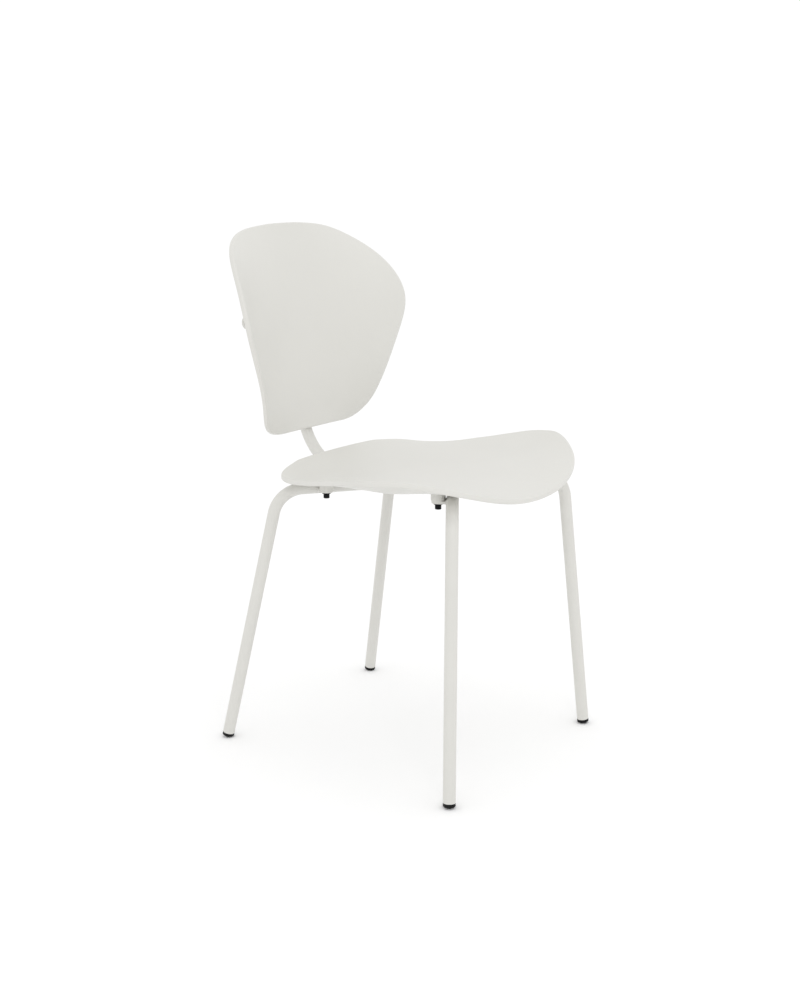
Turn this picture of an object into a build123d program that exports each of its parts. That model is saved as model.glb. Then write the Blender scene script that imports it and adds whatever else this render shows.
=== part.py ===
from build123d import *
import math
import os

# Stacking chair: a welded frame of round steel tube carries two moulded plastic shells.
# Millimetres, +Z up. The sitter faces -Y and their left hand is at +X. The floor is Z = 0.
# The origin is the middle of the chair's footprint box, on the floor.
# The chair is the same on both sides of the plane X = 0.

# --- tube ---
TUBE_D = 19.0
TUBE_WALL = 1.5
LEG_BEND = 47.0            # centre-line radius of the bend at the top of a leg
SPINE_BEND = 100.0         # centre-line radius of the bend behind the seat

# --- legs: where a leg's centre line meets the floor, and where it meets its inward run ---
FRONT_FOOT = (200.5, -224.2, 0.0)
FRONT_KNEE = (158.0, -196.5, 440.5)
FRONT_WELD_Y = -91.7       # where the front legs meet the spine
REAR_FOOT = (192.7, 218.8, 0.0)
REAR_KNEE = (150.5, 135.2, 418.0)
REAR_WELD_Y = 13.3         # where the rear legs meet the spine
WELD_GAP = 3.0             # how far a leg's end stays from the middle of the spine

# --- spine: the one tube along the middle that carries the legs and the backrest ---
SPINE_Z = 420.0
SPINE_FRONT_Y = -115.7
SPINE_TOP_ABOVE_BAR = 17.0

# --- glides under the legs and plugs in the ends of the spine ---
GLIDE_HEIGHT = 8.0
GLIDE_DOME = 14.0          # radius of the rounded underside
GLIDE_FLAT = 4.0           # radius of the flat that stands on the floor
GLIDE_STEM = 18.0
PLUG_CAP = 2.0
PLUG_STEM = 14.0
PLUG_EDGE = 1.2            # rounding of a plug's cap

# --- seat shell ---
SEAT_HALF_WIDTH = 241.0
SEAT_FRONT_Y = -251.7
SEAT_REAR_Y = 138.8
SHELL_WALL = 7.5
SHELL_EDGE = 0.3 * SHELL_WALL  # rounding of both shells' edges: under half of the wall
EDGE_MARGIN = 0.05         # how far a shell's surface is drawn past its outline, of half its width
FIT = 0.05                 # how closely a shell's surface follows its points
# Half of the outline from the middle of the front edge to the middle of the rear edge,
# as (share of the half width, share of the depth from front to rear).
SEAT_OUTLINE = [
    (0.0, 0.0), (0.33, 0.015), (0.62, 0.076), (0.83, 0.18), (0.965, 0.29), (1.0, 0.375),
    (0.955, 0.48), (0.875, 0.59), (0.81, 0.72), (0.775, 0.83), (0.70, 0.935),
    (0.50, 0.985), (0.0, 1.0),
]
# Cross sections from front to rear at equal steps:
# (height at the middle, rise of the dish at DISH_AT, rise of the edge curl at DISH_AT).
DISH_AT = 200.0
SEAT_SECTIONS = [
    (436.0, 38.0, 0.0), (443.0, 31.7, 2.0), (446.5, 26.0, 4.0), (446.2, 20.2, 5.0),
    (445.0, 13.8, 5.5), (443.2, 15.2, 4.8), (442.0, 16.7, 4.0), (441.4, 16.9, 2.0),
    (441.5, 12.2, 1.0), (443.7, 6.2, 0.0), (450.0, -2.4, 0.0), (460.0, -8.0, 0.0),
]

# --- backrest shell, drawn in a leaning frame: X across, V up along it, W out behind it ---
BACK_BASE = (0.0, 179.3, 491.0)
BACK_LEAN = 11.2
BACK_HALF_WIDTH = 203.5
BACK_HEIGHT = 335.0
# Half of the outline from the middle of the lower edge to the middle of the top,
# as (share of the half width, share of the height).
BACK_OUTLINE = [
    (0.0, 0.0), (0.30, 0.0), (0.52, 0.012), (0.645, 0.062), (0.72, 0.14), (0.81, 0.26),
    (0.93, 0.42), (1.0, 0.565), (0.972, 0.69), (0.875, 0.812), (0.725, 0.907),
    (0.50, 0.974), (0.25, 0.995), (0.0, 1.0),
]
BACK_WING = 73.0           # how far the sides come forward at WING_AT from the middle
WING_AT = 200.0
WING_RAMP = 28.0           # height in which the wings grow to two thirds from the lower edge
WING_FULL = 100.0          # height above which the wings fade towards the top
WING_FADE = 4.4            # how late the wings fade: the power of the share of that height
BACK_FLARE = 4.5           # how far the lower edge turns back
BACK_FLARE_HEIGHT = 95.0

# --- screws, inserts, tabs and the back bar ---
SCREW_D = 6.0
SCREW_HOLE_D = 6.6
HEAD_D = 9.6
HEAD_HEIGHT = 7.6
SOCKET_WIDTH = 5.0
SOCKET_DEPTH = 3.0
HEAD_CHAMFER = 0.6
WASHER_D = 14.0
WASHER_HEIGHT = 2.0
INSERT_D = 9.0
INSERT_LENGTH = 9.0
SCREW_SHORT = 0.5          # how far a screw's end stays inside its insert
BOSS_D = 22.0
BOSS_GAP = 0.5             # between a boss under the seat and the tube beside it, seen from above
TAB_WIDTH = 20.0
TAB_THICKNESS = 4.0
FRONT_TAB_DROP = 0.3       # how far a tab's middle lies below the tube that it is welded to
REAR_TAB_DROP = 1.5
TAB_REACH = (TUBE_D + BOSS_D) / 2 + BOSS_GAP  # from the tube's centre line to the screw, from above
FRONT_TAB_AT = 62.0        # from the front knee along the run
REAR_TAB_AT = 72.0         # from the rear knee along the run
BAR_HALF_LENGTH = 119.0
BAR_V = 183.5              # height of the bar up the backrest
BAR_SCREW_X = 101.0
BAR_SUNK = 1.0             # how far the bar is let into the spine
BAR_GAP = 5.2              # between the middle of the shell and the bar

TUBE_R = TUBE_D / 2
SIDES = {"right": -1, "left": 1}


def smooth_step(share):
    share = min(max(share, 0.0), 1.0)
    return share * share * (3 - 2 * share)


def bent_tube(points, bend, outer=TUBE_R, inner=TUBE_R - TUBE_WALL):
    """Round tube along straight stretches with the same bend radius at each corner."""
    path = FilletPolyline(*points, radius=bend)
    start = Plane(origin=path @ 0, z_dir=path % 0)
    section = Circle(outer) - Circle(inner) if inner else Circle(outer)
    return sweep(start * section, path=path)


def closed_outline(half, half_width, start, length):
    """Face inside a mirrored outline, whose first and last points lie on the middle."""
    points = [(x * half_width, start + y * length) for x, y in half]
    curve = Spline(*points, tangents=[(1, 0), (-1, 0)])
    return make_face([curve, mirror(curve, Plane.YZ)])


def mirrored(point, side):
    return (point[0] * side, point[1], point[2])


def fitted_surface(point_at, columns, levels):
    """Smooth surface through the points that point_at gives for each column and level."""
    rows = [[point_at(column, level) for column in columns] for level in levels]
    return Face.make_surface_from_array_of_points(rows, tol=FIT, min_deg=3, max_deg=6)


def even_steps(first, last, count):
    return [first + (last - first) * i / (count - 1) for i in range(count)]


# ---------------------------------------------------------------- seat shell
def section_at(share):
    """Seat section at a share of the depth, eased between the listed ones."""
    place = min(max(share, 0.0), 1.0) * (len(SEAT_SECTIONS) - 1)
    row = min(int(place), len(SEAT_SECTIONS) - 2)
    t = place - row
    near = [SEAT_SECTIONS[min(max(row + i, 0), len(SEAT_SECTIONS) - 1)] for i in (-1, 0, 1, 2)]
    eased = []
    for before, start, end, after in zip(*near):
        leave, arrive = (end - before) / 2, (after - start) / 2
        bend = 3 * (end - start) - 2 * leave - arrive
        eased.append(start + leave * t + bend * t**2 + (leave + arrive - 2 * (end - start)) * t**3)
    return eased


def seat_point(x, y):
    middle, dish, curl = section_at((y - SEAT_FRONT_Y) / (SEAT_REAR_Y - SEAT_FRONT_Y))
    share = abs(x) / DISH_AT
    return (x, y, middle + dish * share**2 + curl * share**6)


def seat_surface():
    """Upper surface of the seat, a little larger than its outline all round."""
    margin = EDGE_MARGIN * SEAT_HALF_WIDTH
    columns = even_steps(-SEAT_HALF_WIDTH - margin, SEAT_HALF_WIDTH + margin, 25)
    return fitted_surface(seat_point, columns, even_steps(SEAT_FRONT_Y - margin, SEAT_REAR_Y + margin, 61))


def drop_onto(face, x, y):
    """Height of a surface above the point (x, y)."""
    return face.find_intersection_points(Axis((x, y, 0), (0, 0, 1)))[0][0].Z


def seat_shell(surface, tabs):
    """Moulded shell with a hollow boss above each tab for its screw insert."""
    depth = SEAT_REAR_Y - SEAT_FRONT_Y
    outline = closed_outline(SEAT_OUTLINE, SEAT_HALF_WIDTH, SEAT_FRONT_Y, depth)
    slab = Solid.thicken(surface, SHELL_WALL, normal_override=(0, 0, -1))
    column = extrude(Plane.XY.offset(SPINE_Z - TUBE_D) * outline, amount=8 * TUBE_D)
    shell = column & slab
    shell = fillet(shell.edges(), SHELL_EDGE)
    for x, y, z in tabs:
        top = drop_onto(surface, x, y) - SHELL_WALL / 2
        shell += Pos(x, y, z) * extrude(Circle(BOSS_D / 2), amount=top - z)
    for x, y, z in tabs:
        shell -= Pos(x, y, z) * extrude(Circle(INSERT_D / 2), amount=INSERT_LENGTH)
    return shell


# ------------------------------------------------------------ backrest shell
def back_frame():
    """Plane with X across, Y up along the leaning backrest and Z out in front of it."""
    lean = math.radians(BACK_LEAN)
    return Plane(origin=BACK_BASE, x_dir=(1, 0, 0), z_dir=(0, -math.cos(lean), math.sin(lean)))


def on_back(x, v, w):
    """World point at X across, V up and W behind the plane of the backrest."""
    return back_frame().from_local_coords(Vector(x, v, -w))


def wing_depth(v):
    grown = 1 - math.exp(-v / WING_RAMP)
    fade = max(0.0, (v - WING_FULL) / (BACK_HEIGHT - WING_FULL)) ** WING_FADE
    return BACK_WING * grown * (1 - fade)


def back_depth(x, v):
    flare = BACK_FLARE * smooth_step(1 - v / BACK_FLARE_HEIGHT)
    return flare - wing_depth(v) * (x / WING_AT) ** 2


def back_point(x, v):
    return on_back(x, v, back_depth(x, v))


def back_surface():
    """Front surface of the backrest, a little larger than its outline all round."""
    margin = EDGE_MARGIN * BACK_HALF_WIDTH
    columns = even_steps(-BACK_HALF_WIDTH - margin, BACK_HALF_WIDTH + margin, 25)
    return fitted_surface(back_point, columns, even_steps(-margin, BACK_HEIGHT + margin, 61))


def back_shell(surface):
    """Moulded shell with two hollow bosses that reach back to the bar."""
    frame = back_frame()
    behind = -frame.z_dir
    outline = closed_outline(BACK_OUTLINE, BACK_HALF_WIDTH, 0, BACK_HEIGHT)
    slab = Solid.thicken(surface, SHELL_WALL, normal_override=behind)
    column = extrude(frame.offset(-BACK_WING) * outline, amount=3 * BACK_WING)
    shell = column & slab
    shell = fillet(shell.edges(), SHELL_EDGE)
    for side in SIDES.values():
        x = side * BAR_SCREW_X
        root = SHELL_WALL / 2 + back_depth(x, BAR_V)
        face = Plane(origin=on_back(x, BAR_V, bar_front()), z_dir=-behind)
        shell += face * extrude(Circle(BOSS_D / 2), amount=bar_front() - root)
        shell -= face * extrude(Circle(INSERT_D / 2), amount=INSERT_LENGTH)
    return shell


# --------------------------------------------------------------------- frame
def bar_front():
    return SHELL_WALL + BAR_GAP


def spine_offset():
    """Distance of the spine's upper centre line behind the plane of the backrest."""
    return bar_front() + TAB_THICKNESS - BAR_SUNK + TUBE_R


def spine_points():
    top = on_back(0, BAR_V + SPINE_TOP_ABOVE_BAR, spine_offset())
    lower = on_back(0, 0, spine_offset())
    share = (lower.Z - SPINE_Z) / (top.Z - lower.Z)
    corner_y = lower.Y - share * (top.Y - lower.Y)
    return [(0, SPINE_FRONT_Y, SPINE_Z), (0, corner_y, SPINE_Z), (0, top.Y, top.Z)]


def leg_points(foot, knee, weld_y, side):
    """Centre line of a leg, from the end of the tube above its glide to the spine."""
    foot, knee = Vector(mirrored(foot, side)), Vector(mirrored(knee, side))
    start = foot + (knee - foot).normalized() * GLIDE_HEIGHT
    weld = Vector(0, weld_y, SPINE_Z)
    return [start, knee, weld + (knee - weld).normalized() * WELD_GAP]


def tab_place(knee, weld_y, along, drop, side, forward):
    """Weld point on the run, and the screw's place on the tab's upper face."""
    knee = Vector(mirrored(knee, side))
    run = (Vector(0, weld_y, SPINE_Z) - knee).normalized()
    weld = knee + run * along - Vector(0, 0, drop)
    level = Vector(run.X, run.Y, 0).normalized()
    outward = Vector(-level.Y, level.X, 0) * (side if forward else -side)
    screw = weld + outward * TAB_REACH + Vector(0, 0, TAB_THICKNESS / 2)
    return weld, screw


def tab(weld, screw):
    """Flat steel tab with a round end, level, from the tube's middle to its screw."""
    reach = Vector(screw.X - weld.X, screw.Y - weld.Y, 0)
    plane = Plane(origin=(screw.X, screw.Y, screw.Z), x_dir=-reach, z_dir=(0, 0, -1))
    outline = Circle(TAB_WIDTH / 2) + Pos(reach.length / 2, 0) * Rectangle(reach.length, TAB_WIDTH)
    outline -= Circle(SCREW_HOLE_D / 2)
    return plane * extrude(outline, amount=TAB_THICKNESS)


def back_bar():
    """Flat bar with round ends across the spine, drilled for the two back screws."""
    plane = bar_plane(0)
    outline = SlotCenterToCenter(2 * (BAR_HALF_LENGTH - TAB_WIDTH / 2), TAB_WIDTH)
    for side in SIDES.values():
        outline -= Pos(side * BAR_SCREW_X, 0) * Circle(SCREW_HOLE_D / 2)
    return plane * extrude(outline, amount=TAB_THICKNESS)


def bar_plane(x):
    """Plane on the front face of the bar, looking out behind it."""
    frame = back_frame()
    return Plane(origin=on_back(x, BAR_V, bar_front()), x_dir=(1, 0, 0), z_dir=-frame.z_dir)


# ------------------------------------------------- fasteners, glides and plugs
def screw():
    """Socket screw: its axis is +Z, its head's seat is Z = 0 and its shank rises from there."""
    head = extrude(Circle(HEAD_D / 2), amount=-HEAD_HEIGHT)
    head = chamfer(head.edges().sort_by(Axis.Z)[:1], HEAD_CHAMFER)
    socket = RegularPolygon(SOCKET_WIDTH / 2, 6, major_radius=False)
    head -= Pos(0, 0, -HEAD_HEIGHT) * extrude(socket, amount=SOCKET_DEPTH)
    return head + extrude(Circle(SCREW_D / 2), amount=screw_length())


def screw_length():
    return WASHER_HEIGHT + TAB_THICKNESS + INSERT_LENGTH - SCREW_SHORT


def washer():
    ring = Circle(WASHER_D / 2) - Circle(SCREW_HOLE_D / 2)
    return extrude(ring, amount=WASHER_HEIGHT)


def insert():
    ring = Circle(INSERT_D / 2) - Circle(SCREW_D / 2)
    return extrude(ring, amount=INSERT_LENGTH)


def glide(foot, knee):
    """Foot glide with a rounded underside and a stem that plugs the end of the tube."""
    foot, knee = Vector(foot), Vector(knee)
    up = (knee - foot).normalized()
    stem_r = TUBE_R - TUBE_WALL
    floor_side = math.sqrt(GLIDE_DOME**2 - GLIDE_FLAT**2) / up.Z
    centre = foot + up * floor_side
    body = Pos(0, 0, -floor_side) * extrude(Circle(TUBE_R), amount=GLIDE_HEIGHT)
    body &= Sphere(GLIDE_DOME)
    body += Pos(0, 0, GLIDE_HEIGHT - floor_side) * extrude(Circle(stem_r), amount=GLIDE_STEM)
    return split(Plane(origin=centre, z_dir=up) * body, bisect_by=Plane.XY)


def plug():
    """Plug for a tube end: its cap lies above Z = 0 and its stem below."""
    stem_r = TUBE_R - TUBE_WALL
    cap = extrude(Circle(TUBE_R), amount=PLUG_CAP)
    cap = fillet(cap.edges().sort_by(Axis.Z)[-1:], PLUG_EDGE)
    return cap + extrude(Circle(stem_r), amount=-PLUG_STEM)


# ------------------------------------------------------------------ assembly
parts = {}
spine_line = spine_points()
spine_rod = bent_tube(spine_line, SPINE_BEND, inner=0)
bar = back_bar()
parts["spine_tube"] = bent_tube(spine_line, SPINE_BEND) - bar
parts["back_bar"] = bar

tab_spots = []
LEGS = {
    "front": (FRONT_FOOT, FRONT_KNEE, FRONT_WELD_Y, FRONT_TAB_AT, FRONT_TAB_DROP, False),
    "rear": (REAR_FOOT, REAR_KNEE, REAR_WELD_Y, REAR_TAB_AT, REAR_TAB_DROP, True),
}
for end, (foot, knee, weld_y, tab_at, drop, forward) in LEGS.items():
    for name, side in SIDES.items():
        line = leg_points(foot, knee, weld_y, side)
        leg_rod = bent_tube(line, LEG_BEND, inner=0)
        parts[f"{end}_leg_{name}"] = bent_tube(line, LEG_BEND) - spine_rod
        weld, spot = tab_place(knee, weld_y, tab_at, drop, side, forward)
        parts[f"seat_tab_{end}_{name}"] = tab(weld, spot) - leg_rod
        parts[f"foot_glide_{end}_{name}"] = glide(mirrored(foot, side), mirrored(knee, side))
        tab_spots.append((spot.X, spot.Y, spot.Z))

parts["seat_shell"] = seat_shell(seat_surface(), tab_spots)
parts["back_shell"] = back_shell(back_surface())

under_tabs = [Pos(x, y, z - TAB_THICKNESS) for x, y, z in tab_spots]
behind_bar = [bar_plane(side * BAR_SCREW_X).offset(TAB_THICKNESS) for side in SIDES.values()]
screw_seats = {
    "seat": [place * Pos(0, 0, -WASHER_HEIGHT) for place in under_tabs],
    "back": [Location(plane.offset(WASHER_HEIGHT)) * Rot(X=180) for plane in behind_bar],
}
for owner, seats in screw_seats.items():
    rise = WASHER_HEIGHT + TAB_THICKNESS
    parts[f"{owner}_screws"] = Compound([seat * screw() for seat in seats])
    parts[f"{owner}_washers"] = Compound([seat * washer() for seat in seats])
    parts[f"{owner}_inserts"] = Compound([seat * Pos(0, 0, rise) * insert() for seat in seats])

spine_start = Plane(origin=spine_line[0], z_dir=(0, -1, 0))
spine_end = Plane(origin=spine_line[-1], z_dir=Vector(*spine_line[-1]) - Vector(*spine_line[-2]))
parts["spine_plugs"] = Compound([plane * plug() for plane in (spine_start, spine_end)])

os.makedirs("parts", exist_ok=True)
for node, shape in parts.items():
    export_step(shape, f"parts/{node}.step")
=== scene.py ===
import math

import bmesh
import bpy
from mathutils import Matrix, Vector
from mathutils.bvhtree import BVHTree


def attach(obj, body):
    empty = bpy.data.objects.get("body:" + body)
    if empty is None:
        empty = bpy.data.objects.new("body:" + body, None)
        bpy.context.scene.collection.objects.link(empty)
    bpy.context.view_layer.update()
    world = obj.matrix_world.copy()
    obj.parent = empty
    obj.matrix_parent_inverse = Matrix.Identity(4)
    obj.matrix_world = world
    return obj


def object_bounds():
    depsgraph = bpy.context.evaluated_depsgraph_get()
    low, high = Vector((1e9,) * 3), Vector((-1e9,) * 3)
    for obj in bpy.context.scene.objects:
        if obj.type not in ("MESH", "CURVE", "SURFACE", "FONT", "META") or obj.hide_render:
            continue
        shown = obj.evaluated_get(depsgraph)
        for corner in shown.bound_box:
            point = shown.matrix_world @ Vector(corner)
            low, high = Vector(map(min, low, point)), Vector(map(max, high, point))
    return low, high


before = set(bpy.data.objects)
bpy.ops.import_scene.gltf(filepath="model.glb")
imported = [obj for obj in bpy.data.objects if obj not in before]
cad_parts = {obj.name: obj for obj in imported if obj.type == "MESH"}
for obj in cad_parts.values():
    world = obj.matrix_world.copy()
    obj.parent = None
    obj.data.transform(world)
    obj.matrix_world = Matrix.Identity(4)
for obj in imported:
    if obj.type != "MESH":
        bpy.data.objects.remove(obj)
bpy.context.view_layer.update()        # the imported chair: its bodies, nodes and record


# ---------------------------------------------------------------------------
# Frame tubes: the spine, four legs, four seat tabs and the bar behind the back.
# Bent and flat mild steel, welded into one frame and then powder coated together,
# so every piece of it has the same off-white coat, welds included.
# ---------------------------------------------------------------------------
def linear(hex_colour):
    """Linear RGBA of an sRGB hex colour."""
    shares = [int(hex_colour[i:i + 2], 16) / 255 for i in (1, 3, 5)]
    return [s / 12.92 if s <= 0.04045 else ((s + 0.055) / 1.055) ** 2.4 for s in shares] + [1.0]


def add_node(tree, kind, settings=None, links=None):
    """Adds a node. Settings name inputs or properties; links feed inputs from sockets."""
    made = tree.nodes.new(kind)
    for name, value in (settings or {}).items():
        if name in made.inputs:
            made.inputs[name].default_value = value
        else:
            setattr(made, name, value)
    for name, socket in (links or {}).items():
        tree.links.new(socket, made.inputs[name])
    return made


def new_finish(name):
    """Empty material with its shader and the object's own coordinates."""
    finish = bpy.data.materials.new(name)
    finish.use_nodes = True
    tree = finish.node_tree
    shader = tree.nodes["Principled BSDF"]
    place = add_node(tree, "ShaderNodeTexCoord").outputs["Object"]
    return finish, tree, shader, place


def coat(nodes, finish):
    """Gives CAD nodes a finish in place of the record's plain one."""
    for name in nodes:
        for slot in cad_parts[name].material_slots:
            slot.material = finish


# Polyester powder coat, cured in an oven: a satin film about 80 microns thick. It flows
# before it sets, which leaves a very slight orange peel, and it runs a touch thicker and
# glossier in patches.
POWDER_PEEL = 0.0022       # metres between the ripples of the orange peel, drawn coarse
POWDER_PATCH = 0.045       # metres across a thicker patch
powder_coat, tree, shader, place = new_finish("powder_coated_steel_off_white")
peel = add_node(tree, "ShaderNodeTexNoise", {"Scale": 1 / POWDER_PEEL, "Detail": 2.0}, {"Vector": place})
patch = add_node(tree, "ShaderNodeTexNoise", {"Scale": 1 / POWDER_PATCH, "Detail": 3.0}, {"Vector": place})
bump = add_node(tree, "ShaderNodeBump", {"Strength": 0.25, "Distance": 0.00012},
                {"Height": peel.outputs["Fac"]})
tone = add_node(tree, "ShaderNodeValToRGB", links={"Fac": patch.outputs["Fac"]})
tone.color_ramp.elements[0].color = linear("#D0CFCA")
tone.color_ramp.elements[1].color = linear("#D5D4CF")
gloss = add_node(tree, "ShaderNodeMapRange", {"To Min": 0.36, "To Max": 0.46},
                 {"Value": patch.outputs["Fac"]})
shader.inputs["IOR"].default_value = 1.5
tree.links.new(tone.outputs["Color"], shader.inputs["Base Color"])
tree.links.new(gloss.outputs["Result"], shader.inputs["Roughness"])
tree.links.new(bump.outputs["Normal"], shader.inputs["Normal"])

LEGS = ["front_leg_right", "front_leg_left", "rear_leg_right", "rear_leg_left"]
TABS = ["seat_tab_front_right", "seat_tab_front_left", "seat_tab_rear_right", "seat_tab_rear_left"]
coat(["spine_tube", "back_bar"] + LEGS + TABS, powder_coat)


# ---------------------------------------------------------------------------
# Weld beads: where a leg meets the spine, a tab meets its leg and the bar meets the
# spine. A thin rippled fillet of steel laid by a torch that steps along the joint,
# under the same powder coat.
# ---------------------------------------------------------------------------
WELD_WIDTH = 0.0032
WELD_RIPPLE = 0.0016       # metres from one ripple to the next
WELD_STEP = 0.0004         # metres between the bead's cross sections
WELD_SWELL = 0.12          # how much a ripple widens and narrows the bead, as a share of it
BEAD_SIDES = 10
TOUCH = 0.00012            # how near a face lies to its neighbour where the two are welded


def joint_outline(name, neighbour):
    """Outer edge of the patch where a CAD node touches its neighbour, as a mesh of edges."""
    shape = bmesh.new()
    shape.from_mesh(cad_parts[name].data)
    bmesh.ops.remove_doubles(shape, verts=shape.verts, dist=1e-6)
    other = bmesh.new()
    other.from_mesh(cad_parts[neighbour].data)
    surface = BVHTree.FromBMesh(other)
    near = {v for v in shape.verts if surface.find_nearest(v.co, TOUCH)[0] is not None}
    patch_faces = {f for f in shape.faces if all(v in near for v in f.verts)}
    rim = [e for e in shape.edges if sum(f in patch_faces for f in e.link_faces) == 1]
    loops = []
    while rim:
        loop = [rim.pop()]
        grown = True
        while grown:
            ends = {v for e in loop for v in e.verts}
            more = [e for e in rim if ends & set(e.verts)]
            rim = [e for e in rim if e not in more]
            loop += more
            grown = bool(more)
        loops.append(loop)
    loop = max(loops, key=lambda edges: sum(e.calc_length() for e in edges))
    shape.verts.index_update()
    points = sorted({v for e in loop for v in e.verts}, key=lambda v: v.index)
    outline = ([v.co.copy() for v in points],
               [(points.index(e.verts[0]), points.index(e.verts[1])) for e in loop])
    shape.free()
    other.free()
    return outline


# The bead follows any outline: it is stepped evenly, swells at each ripple and is
# swept with a round section, half of it sunk in the joint.
weld_tree = bpy.data.node_groups.new("weld_bead", "GeometryNodeTree")
for label, kind in (("Outline", "NodeSocketGeometry"), ("Width", "NodeSocketFloat"),
                    ("Ripple", "NodeSocketFloat"), ("Step", "NodeSocketFloat"),
                    ("Finish", "NodeSocketMaterial")):
    weld_tree.interface.new_socket(label, in_out="INPUT", socket_type=kind)
weld_tree.interface.new_socket("Bead", in_out="OUTPUT", socket_type="NodeSocketGeometry")
given = add_node(weld_tree, "NodeGroupInput").outputs
line = add_node(weld_tree, "GeometryNodeMeshToCurve", links={"Mesh": given["Outline"]})
even = add_node(weld_tree, "GeometryNodeResampleCurve", {"mode": "LENGTH"},
                {"Curve": line.outputs["Curve"], "Length": given["Step"]})
along = add_node(weld_tree, "GeometryNodeSplineParameter")
turns = add_node(weld_tree, "ShaderNodeMath", {"operation": "DIVIDE"})
weld_tree.links.new(along.outputs["Length"], turns.inputs[0])
weld_tree.links.new(given["Ripple"], turns.inputs[1])
sweep = add_node(weld_tree, "ShaderNodeMath", {"operation": "MULTIPLY"})
weld_tree.links.new(turns.outputs[0], sweep.inputs[0])
sweep.inputs[1].default_value = math.tau
wave = add_node(weld_tree, "ShaderNodeMath", {"operation": "SINE"})
weld_tree.links.new(sweep.outputs[0], wave.inputs[0])
swell = add_node(weld_tree, "ShaderNodeMath", {"operation": "MULTIPLY_ADD"})
weld_tree.links.new(wave.outputs[0], swell.inputs[0])
swell.inputs[1].default_value = WELD_SWELL
swell.inputs[2].default_value = 1.0 - WELD_SWELL
swollen = add_node(weld_tree, "GeometryNodeSetCurveRadius",
                   links={"Curve": even.outputs["Curve"], "Radius": swell.outputs[0]})
half = add_node(weld_tree, "ShaderNodeMath", {"operation": "MULTIPLY"})
weld_tree.links.new(given["Width"], half.inputs[0])
half.inputs[1].default_value = 0.5
section = add_node(weld_tree, "GeometryNodeCurvePrimitiveCircle", {"Resolution": BEAD_SIDES},
                   {"Radius": half.outputs[0]})
bead = add_node(weld_tree, "GeometryNodeCurveToMesh",
                links={"Curve": swollen.outputs["Curve"], "Profile Curve": section.outputs["Curve"],
                       "Scale": swell.outputs[0]})
smooth = add_node(weld_tree, "GeometryNodeSetShadeSmooth", links={"Geometry": bead.outputs["Mesh"]})
real = add_node(weld_tree, "GeometryNodeRealizeInstances", links={"Geometry": smooth.outputs["Geometry"]})
coated = add_node(weld_tree, "GeometryNodeSetMaterial",
                  links={"Geometry": real.outputs["Geometry"], "Material": given["Finish"]})
add_node(weld_tree, "NodeGroupOutput", links={"Bead": coated.outputs["Geometry"]})


def set_input(modifier, label, value):
    """Sets a Geometry Nodes input by the identifier that its label has."""
    for item in modifier.node_group.interface.items_tree:
        if item.in_out == "INPUT" and item.name == label:
            modifier[item.identifier] = value


def bake(holder, name):
    """Turns an object's evaluated geometry into a plain mesh object at the origin."""
    seen = holder.evaluated_get(bpy.context.evaluated_depsgraph_get())
    mesh = bpy.data.meshes.new_from_object(seen)
    mesh.name = name
    piece = bpy.data.objects.new(name, mesh)
    bpy.context.scene.collection.objects.link(piece)
    bpy.data.objects.remove(holder)
    return piece


points, edges = [], []
welded = [(leg, "spine_tube") for leg in LEGS]
welded += list(zip(TABS, LEGS))
welded += [("spine_tube", "back_bar")]
for name, neighbour in welded:
    found, joined = joint_outline(name, neighbour)
    edges += [(a + len(points), b + len(points)) for a, b in joined]
    points += found
outlines = bpy.data.meshes.new("weld_outlines")
outlines.from_pydata(points, edges, [])
holder = bpy.data.objects.new("weld_outlines", outlines)
bpy.context.scene.collection.objects.link(holder)
modifier = holder.modifiers.new("bead", "NODES")
modifier.node_group = weld_tree
set_input(modifier, "Width", WELD_WIDTH)
set_input(modifier, "Ripple", WELD_RIPPLE)
set_input(modifier, "Step", WELD_STEP)
set_input(modifier, "Finish", powder_coat)
weld_beads = bake(holder, "weld_beads")
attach(weld_beads, "root")


# ---------------------------------------------------------------------------
# Seat shell and backrest shell, with the plugs of the spine. Each shell is one injection
# moulding of polypropylene in the frame's off-white, with its screw bosses moulded on.
# ---------------------------------------------------------------------------
# The mould is spark eroded, which leaves a fine even grain that scatters light: satin
# where it is seen flat, a little brighter along the rounded lip.
GRAIN = 0.0011             # metres from grain to grain, drawn coarser than the real 0.2 mm
FLOW = 0.11                # metres across the faint tone changes where the plastic flowed
moulded, tree, shader, place = new_finish("moulded_polypropylene_off_white")
grain = add_node(tree, "ShaderNodeTexVoronoi", {"Scale": 1 / GRAIN}, {"Vector": place})
fine = add_node(tree, "ShaderNodeTexNoise", {"Scale": 2.5 / GRAIN, "Detail": 2.0}, {"Vector": place})
flow = add_node(tree, "ShaderNodeTexNoise", {"Scale": 1 / FLOW, "Detail": 2.0}, {"Vector": place})
mixed = add_node(tree, "ShaderNodeMath", {"operation": "ADD"})
tree.links.new(grain.outputs["Distance"], mixed.inputs[0])
tree.links.new(fine.outputs["Fac"], mixed.inputs[1])
bump = add_node(tree, "ShaderNodeBump", {"Strength": 0.22, "Distance": 0.00006},
                {"Height": mixed.outputs[0]})
tone = add_node(tree, "ShaderNodeValToRGB", links={"Fac": flow.outputs["Fac"]})
tone.color_ramp.elements[0].color = linear("#D3D2CD")
tone.color_ramp.elements[1].color = linear("#D7D6D1")
gloss = add_node(tree, "ShaderNodeMapRange", {"To Min": 0.38, "To Max": 0.47},
                 {"Value": fine.outputs["Fac"]})
shader.inputs["IOR"].default_value = 1.49
tree.links.new(tone.outputs["Color"], shader.inputs["Base Color"])
tree.links.new(gloss.outputs["Result"], shader.inputs["Roughness"])
tree.links.new(bump.outputs["Normal"], shader.inputs["Normal"])
coat(["seat_shell", "back_shell", "spine_plugs"], moulded)


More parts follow.
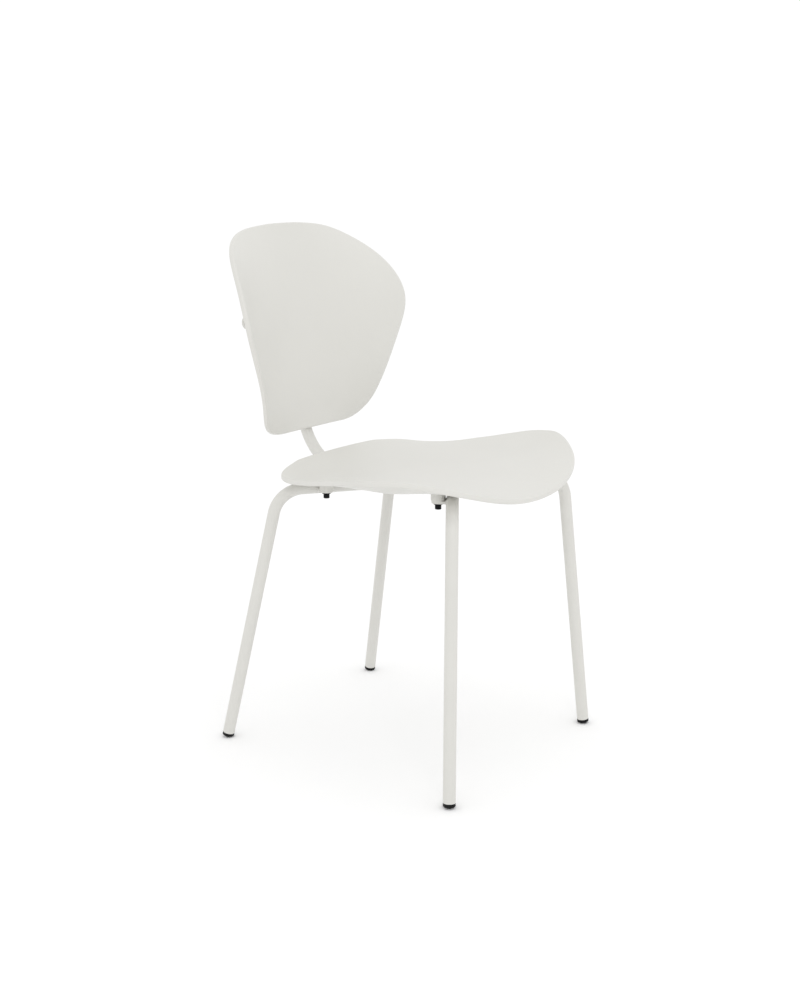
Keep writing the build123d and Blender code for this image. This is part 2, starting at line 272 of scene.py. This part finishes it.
# ---------------------------------------------------------------------------
# Inserts: brass bushes with an M6 thread, turned from bar and pressed hot into the
# bosses of both shells.
# ---------------------------------------------------------------------------
# Turned free-cutting brass: bright, with fine turning marks round its axis.
TURNING = 0.0006           # metres from mark to mark
turned_brass, tree, shader, place = new_finish("turned_brass")
marks = add_node(tree, "ShaderNodeTexNoise", {"Scale": 1 / TURNING, "Detail": 3.0}, {"Vector": place})
gloss = add_node(tree, "ShaderNodeMapRange", {"To Min": 0.22, "To Max": 0.36},
                 {"Value": marks.outputs["Fac"]})
shader.inputs["Base Color"].default_value = linear("#C9A45C")
shader.inputs["Metallic"].default_value = 1.0
tree.links.new(gloss.outputs["Result"], shader.inputs["Roughness"])
coat(["seat_inserts", "back_inserts"], turned_brass)


# ---------------------------------------------------------------------------
# Screws and washers: steel socket cap screws that pass through a plain washer and the
# tab or the bar into the inserts.
# ---------------------------------------------------------------------------
# Black oxide on steel: a thin dark conversion layer with a trace of oil, so it is nearly
# black with a dull gleam that varies over the head.
OXIDE = 0.0016             # metres across a patch of the mottling
black_oxide, tree, shader, place = new_finish("black_oxide_steel")
mottle = add_node(tree, "ShaderNodeTexNoise", {"Scale": 1 / OXIDE, "Detail": 4.0}, {"Vector": place})
tone = add_node(tree, "ShaderNodeValToRGB", links={"Fac": mottle.outputs["Fac"]})
tone.color_ramp.elements[0].color = linear("#0B0B0C")
tone.color_ramp.elements[1].color = linear("#151517")
gloss = add_node(tree, "ShaderNodeMapRange", {"To Min": 0.34, "To Max": 0.5},
                 {"Value": mottle.outputs["Fac"]})
shader.inputs["Metallic"].default_value = 0.3
shader.inputs["Specular IOR Level"].default_value = 0.15
tree.links.new(tone.outputs["Color"], shader.inputs["Base Color"])
tree.links.new(gloss.outputs["Result"], shader.inputs["Roughness"])
coat(["seat_screws", "seat_washers", "back_screws", "back_washers"], black_oxide)


# ---------------------------------------------------------------------------
# Foot glides: black polyethylene caps pushed into the open ends of the legs, rounded
# underneath and worn to a small flat where they stand on the floor.
# ---------------------------------------------------------------------------
# Polyethylene straight from the mould: black, waxy satin, scuffed a little rougher.
SCUFF = 0.0025             # metres across a scuff
black_polyethylene, tree, shader, place = new_finish("black_polyethylene")
scuff = add_node(tree, "ShaderNodeTexNoise", {"Scale": 1 / SCUFF, "Detail": 5.0}, {"Vector": place})
bump = add_node(tree, "ShaderNodeBump", {"Strength": 0.2, "Distance": 0.0001},
                {"Height": scuff.outputs["Fac"]})
gloss = add_node(tree, "ShaderNodeMapRange", {"To Min": 0.4, "To Max": 0.58},
                 {"Value": scuff.outputs["Fac"]})
shader.inputs["Base Color"].default_value = linear("#080809")
shader.inputs["IOR"].default_value = 1.51
shader.inputs["Specular IOR Level"].default_value = 0.2
tree.links.new(gloss.outputs["Result"], shader.inputs["Roughness"])
tree.links.new(bump.outputs["Normal"], shader.inputs["Normal"])
coat(["foot_glide_front_right", "foot_glide_front_left",
      "foot_glide_rear_right", "foot_glide_rear_left"], black_polyethylene)


# ---------------------------------------------------------------------------
# Studio: a plain white floor and an even white surround that gives most of the light, with
# a dim soft light overhead and a stronger one beside the camera.
# ---------------------------------------------------------------------------
FLOOR_HALF = 30.0          # metres from the middle of the floor to its edges
SURROUND = 1.06            # radiance of the surround, just enough to leave the floor white
low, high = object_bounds()
floor_mesh = bpy.data.meshes.new("studio_floor")
floor_mesh.from_pydata([(-FLOOR_HALF, -FLOOR_HALF, low[2]), (FLOOR_HALF, -FLOOR_HALF, low[2]),
                        (FLOOR_HALF, FLOOR_HALF, low[2]), (-FLOOR_HALF, FLOOR_HALF, low[2])],
                       [], [(0, 1, 2, 3)])
studio_floor = bpy.data.objects.new("studio_floor", floor_mesh)
bpy.context.scene.collection.objects.link(studio_floor)
matt_paint, tree, shader, place = new_finish("matt_white_studio_paint")
shader.inputs["Base Color"].default_value = linear("#FAFAFA")
shader.inputs["Roughness"].default_value = 1.0
shader.inputs["Specular IOR Level"].default_value = 0.0
floor_mesh.materials.append(matt_paint)

world = bpy.data.worlds.new("white_surround")
world.use_nodes = True
world.node_tree.nodes["Background"].inputs["Color"].default_value = (1.0, 1.0, 1.0, 1.0)
world.node_tree.nodes["Background"].inputs["Strength"].default_value = SURROUND
bpy.context.scene.world = world

centre = Vector([(a + b) / 2 for a, b in zip(low, high)])


def soft_light(name, place, size, watts):
    """Square area light that faces the middle of the chair."""
    lamp = bpy.data.lights.new(name, "AREA")
    lamp.size = size
    lamp.energy = watts
    holder = bpy.data.objects.new(name, lamp)
    holder.location = place
    holder.rotation_euler = (centre - Vector(place)).to_track_quat("-Z", "Y").to_euler()
    bpy.context.scene.collection.objects.link(holder)


soft_light("overhead_softbox", (0.3, -0.3, 3.2), 1.8, 4.0)
soft_light("front_softbox", (-2.6, -2.6, 2.1), 1.2, 12.0)


# ---------------------------------------------------------------------------
# Camera: at standing height, in front of the chair and to its right.
# ---------------------------------------------------------------------------
LENS = 52.12
lens = bpy.data.cameras.new("camera")
lens.lens = LENS
lens.sensor_width = 36.0
camera = bpy.data.objects.new("camera", lens)
camera.location = (-1.8206, -1.3100, 0.9386)
camera.rotation_euler = Vector((0.7866, 0.5703, -0.2370)).to_track_quat("-Z", "Y").to_euler()
bpy.context.scene.collection.objects.link(camera)
bpy.context.scene.camera = camera
bpy.context.scene.view_settings.view_transform = "Standard"
